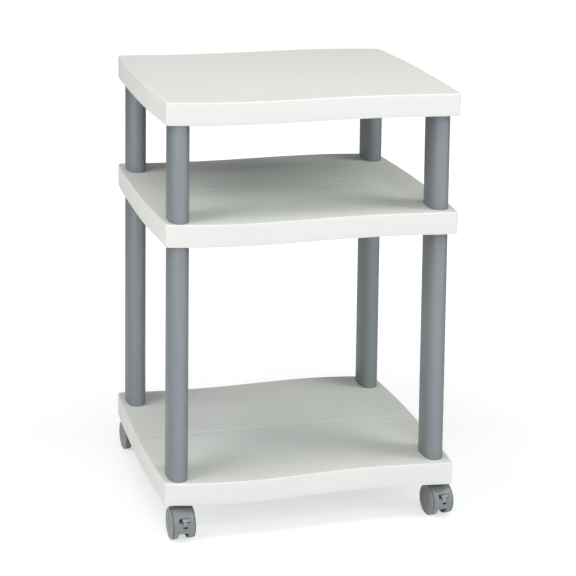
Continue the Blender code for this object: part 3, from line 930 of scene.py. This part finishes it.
def lever():
    outer, inner = HOOD_R + 0.5 * MM, HOOD_R - 1.1 * MM
    z_low, z_high, z_tail = (on_hood(a, outer)[1] for a in (21, 30.5, 5))
    bar, tail = 6.8 * MM, 2.9 * MM
    outline = eased(
        [
            (BAR_X - bar, z_low, 0.8 * MM),
            (TAIL_X - tail, z_low, 0.6 * MM),
            (TAIL_X - tail, z_tail, 0.8 * MM),
            (TAIL_X + tail, z_tail, 0.8 * MM),
            (TAIL_X + tail, z_low, 0.6 * MM),
            (BAR_X + bar, z_low, 0.8 * MM),
            (BAR_X + bar, z_high, 0.8 * MM),
            (BAR_X - bar, z_high, 0.8 * MM),
        ]
    )
    shape = prism("shape", outline, AXLE_Y - 0.04, AXLE_Y - 8 * MM, ("x", "z", "y"))
    face = on_axle(
        lathe("face", [(inner, -0.014), (outer, -0.014), (outer, 0.014), (inner, 0.014)], 180, "X", closed=True)
    )
    face = soften(combine(face, "INTERSECT", [shape]), 0.3 * MM, 2, 40)
    py, pz = PIVOT
    arm = box((-1.8 * MM, AXLE_Y - 26.0 * MM, pz - 1.8 * MM), (1.8 * MM, py, pz + 1.8 * MM), 0.5 * MM, "y")
    barrel = placed(
        lathe("barrel", eased([(0, -2.9 * MM, 0), (2.4 * MM, -2.9 * MM, 0.3 * MM), (2.4 * MM, 2.9 * MM, 0.3 * MM), (0, 2.9 * MM, 0)], closed=False), 48, "X"),
        0,
        py,
        pz,
    )
    pins = placed(
        lathe("pins", eased([(0, -5.2 * MM, 0), (1.3 * MM, -5.2 * MM, 0.2 * MM), (1.3 * MM, 5.2 * MM, 0.2 * MM), (0, 5.2 * MM, 0)], closed=False), 40, "X"),
        0,
        py,
        pz,
    )
    return join(face, arm, barrel, pins)


patterns = {
    "housing": housing(False),
    "braked": housing(True),
    "left": wheel(-1),
    "right": wheel(1),
    "axle": axle(),
    "stem": stem(),
    "lever": lever(),
}
for place in PLACES:
    x, y = swivel_xy(place)
    turn = Matrix.Translation((x, y, 0)) @ Matrix.Rotation(heading(place), 4, "Z")
    braked = f"brake_lever_{place}" in frame["bodies"]
    body = "caster_" + place

    def put(pattern, name, rides, mat, node, angle=32.0):
        piece(duplicate(patterns[pattern]), name, rides, mat, [node], angle, turn)

    put("braked" if braked else "housing", f"caster_hood_{place}", body, HOOD, f"caster_housing_{place}")
    put("axle", f"caster_axle_pin_{place}", body, STEEL, f"caster_axle_{place}")
    put("stem", f"caster_stem_turned_{place}", "stand", STEEL, f"caster_stem_{place}")
    for which in ("outer", "inner"):
        node = f"caster_wheel_{which}_{place}"
        low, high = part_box(node)
        centre = (low + high) / 2
        across = turn.inverted() @ Vector((centre.x, centre.y, centre.z))
        put("right" if across.x > 0 else "left", f"caster_tread_{which}_{place}", f"wheel_{which}_{place}", WHEEL, node)
    if braked:
        put("lever", f"brake_lever_press_{place}", f"brake_lever_{place}", LEVER, f"brake_lever_{place}")

for obj in list(spare.objects):
    bpy.data.objects.remove(obj, do_unlink=True)
bpy.data.collections.remove(spare)


# ---------------------------------------------------------------- floor, light and camera
floor = bpy.data.objects.new("studio_floor", bpy.data.meshes.new("studio_floor"))
bm = bmesh.new()
bmesh.ops.create_grid(bm, x_segments=8, y_segments=8, size=30.0)
bm.to_mesh(floor.data)
bm.free()
bpy.context.scene.collection.objects.link(floor)
FLOOR_NEAR, FLOOR_FAR = 0.62, 0.98
paint = Paint("white_studio_floor")
rays = paint.tree.nodes.new("ShaderNodeLightPath").outputs["Is Camera Ray"]
tint = paint.mix(paint.spread(paint.noise(1.5, 2.0), 0.3, 0.7), (0.89, 0.89, 0.89), (0.91, 0.91, 0.91))
tint = paint.mix(rays, tint, (0.50, 0.50, 0.50))
paint.done(tint, paint.spread(paint.noise(4.0), 0.3, 0.7, 0.6, 0.7), paint.bump(paint.noise(300.0), 0.02 * MM, 0.2))
# the floor reads white to the camera: it glows a little, and more away from the stand, so the weaker glow near the
# stand is a painted shadow around it
away = paint.tree.nodes.new("ShaderNodeVectorMath")
away.operation = "LENGTH"
paint.link(paint.coords.outputs["Object"], away.inputs[0])
glow = paint.spread(away.outputs["Value"], 0.52, 1.7, FLOOR_NEAR, FLOOR_FAR)
paint.link(paint.sum(glow, rays, "MULTIPLY"), paint.shader.inputs["Emission Strength"])
paint.shader.inputs["Emission Color"].default_value = (1, 1, 1, 1)
paint.shader.inputs["Specular IOR Level"].default_value = 0.0
# seen from below the floor is clear, so the underside can be looked at
clear = paint.tree.nodes.new("ShaderNodeBsdfTransparent")
pick = paint.tree.nodes.new("ShaderNodeMixShader")
paint.link(paint.geometry.outputs["Backfacing"], pick.inputs[0])
paint.link(paint.shader.outputs[0], pick.inputs[1])
paint.link(clear.outputs[0], pick.inputs[2])
paint.link(pick.outputs[0], paint.tree.nodes["Material Output"].inputs["Surface"])
floor.data.materials.append(paint.mat)

world = bpy.data.worlds.new("studio")
bpy.context.scene.world = world
world.use_nodes = True
sky = world.node_tree.nodes["Background"]
sky.inputs["Color"].default_value = (0.80, 1.0, 0.99, 1.0)
WORLD = 0.01
# the backdrop is white to the camera, and dimmer as a light
paths = world.node_tree.nodes.new("ShaderNodeLightPath")
level = world.node_tree.nodes.new("ShaderNodeMix")
level.data_type = "FLOAT"
level.inputs[2].default_value = WORLD
level.inputs[3].default_value = 1.3
world.node_tree.links.new(paths.outputs["Is Camera Ray"], level.inputs[0])
world.node_tree.links.new(level.outputs[0], sky.inputs["Strength"])

AIM = Vector((0.0, 0.0, 0.36))
LIGHTS = {
    "low_left": ((-2.4, -2.4, 0.75), (1.4, 1.0), 18.8, (1.0, 0.783, 0.847)),
    "low_right": ((2.4, -2.2, 0.75), (1.4, 1.0), 9.6, (1.0, 0.71, 0.84)),
    "key_right": ((2.4, -1.9, 1.9), (1.6, 1.6), 25.7, (0.865, 1.0, 0.933)),
    "high_front": ((-0.3, -3.0, 2.7), (2.0, 1.2), 37.1, (0.988, 0.998, 1.0)),
    "mid_front": ((-0.2, -3.6, 1.7), (2.0, 1.0), 14.2, (0.587, 0.836, 1.0)),
    "overhead": ((0.0, 0.1, 2.8), (2.0, 2.0), 20.8, (1.0, 0.951, 0.956)),
    "side_left": ((-2.9, 0.2, 1.3), (1.4, 1.4), 25.1, (0.879, 1.0, 0.936)),
    "steep_left": ((-1.9, -0.9, 2.9), (1.2, 1.6), 30.7, (1.0, 0.99, 0.985)),
    "steep_right": ((1.9, -0.9, 2.9), (1.2, 1.6), 25.6, (0.964, 1.0, 0.885)),
}
for name, (at, size, power, colour) in LIGHTS.items():
    data = bpy.data.lights.new(name, "AREA")
    data.shape = "RECTANGLE"
    data.size, data.size_y = size
    data.energy = power
    data.color = colour
    lamp = bpy.data.objects.new(name, data)
    bpy.context.scene.collection.objects.link(lamp)
    lamp.location = at
    lamp.rotation_mode = "QUATERNION"
    lamp.rotation_quaternion = (AIM - Vector(at)).to_track_quat("-Z", "Y")
    lamp.visible_camera = False

bpy.context.scene.view_settings.view_transform = "Standard"
bpy.context.scene.view_settings.look = "None"

CAMERA_AT = Vector((-0.85808, -3.27871, 1.36267))
YAW, PITCH, ROLL = 0.258951, 0.135926, 0.012188
FOCAL_PX, SHIFT_X, SHIFT_Y = 1960.157, -0.000868, -0.52502
data = bpy.data.cameras.new("photo_view")
camera = bpy.data.objects.new("photo_view", data)
bpy.context.scene.collection.objects.link(camera)
forward = Vector((math.sin(YAW) * math.cos(PITCH), math.cos(YAW) * math.cos(PITCH), -math.sin(PITCH)))
right = Vector((math.cos(YAW), -math.sin(YAW), 0.0))
up = right.cross(forward)
x_axis = math.cos(ROLL) * right + math.sin(ROLL) * up
y_axis = -math.sin(ROLL) * right + math.cos(ROLL) * up
turn = Matrix((x_axis, y_axis, -forward)).transposed()
camera.rotation_mode = "QUATERNION"
camera.rotation_quaternion = turn.to_quaternion()
camera.location = CAMERA_AT
data.sensor_fit = "HORIZONTAL"
data.sensor_width = 36.0
data.lens = FOCAL_PX / 576 * 36.0
data.clip_start, data.clip_end = 0.05, 200.0
bpy.context.scene.camera = camera
# the lens is shifted for this view only: other views stand elsewhere and look straight at the object
for key, value in (("shift_x", SHIFT_X), ("shift_y", SHIFT_Y)):
    driver = data.driver_add(key).driver
    driver.type = "SCRIPTED"
    var = driver.variables.new()
    var.name = "cam_x"
    var.type = "TRANSFORMS"
    var.targets[0].id = camera
    var.targets[0].transform_type = "LOC_X"
    driver.expression = f"{value} if abs(cam_x + {abs(CAMERA_AT.x):.5f}) < 0.0005 else 0"
    setattr(data, key, value)
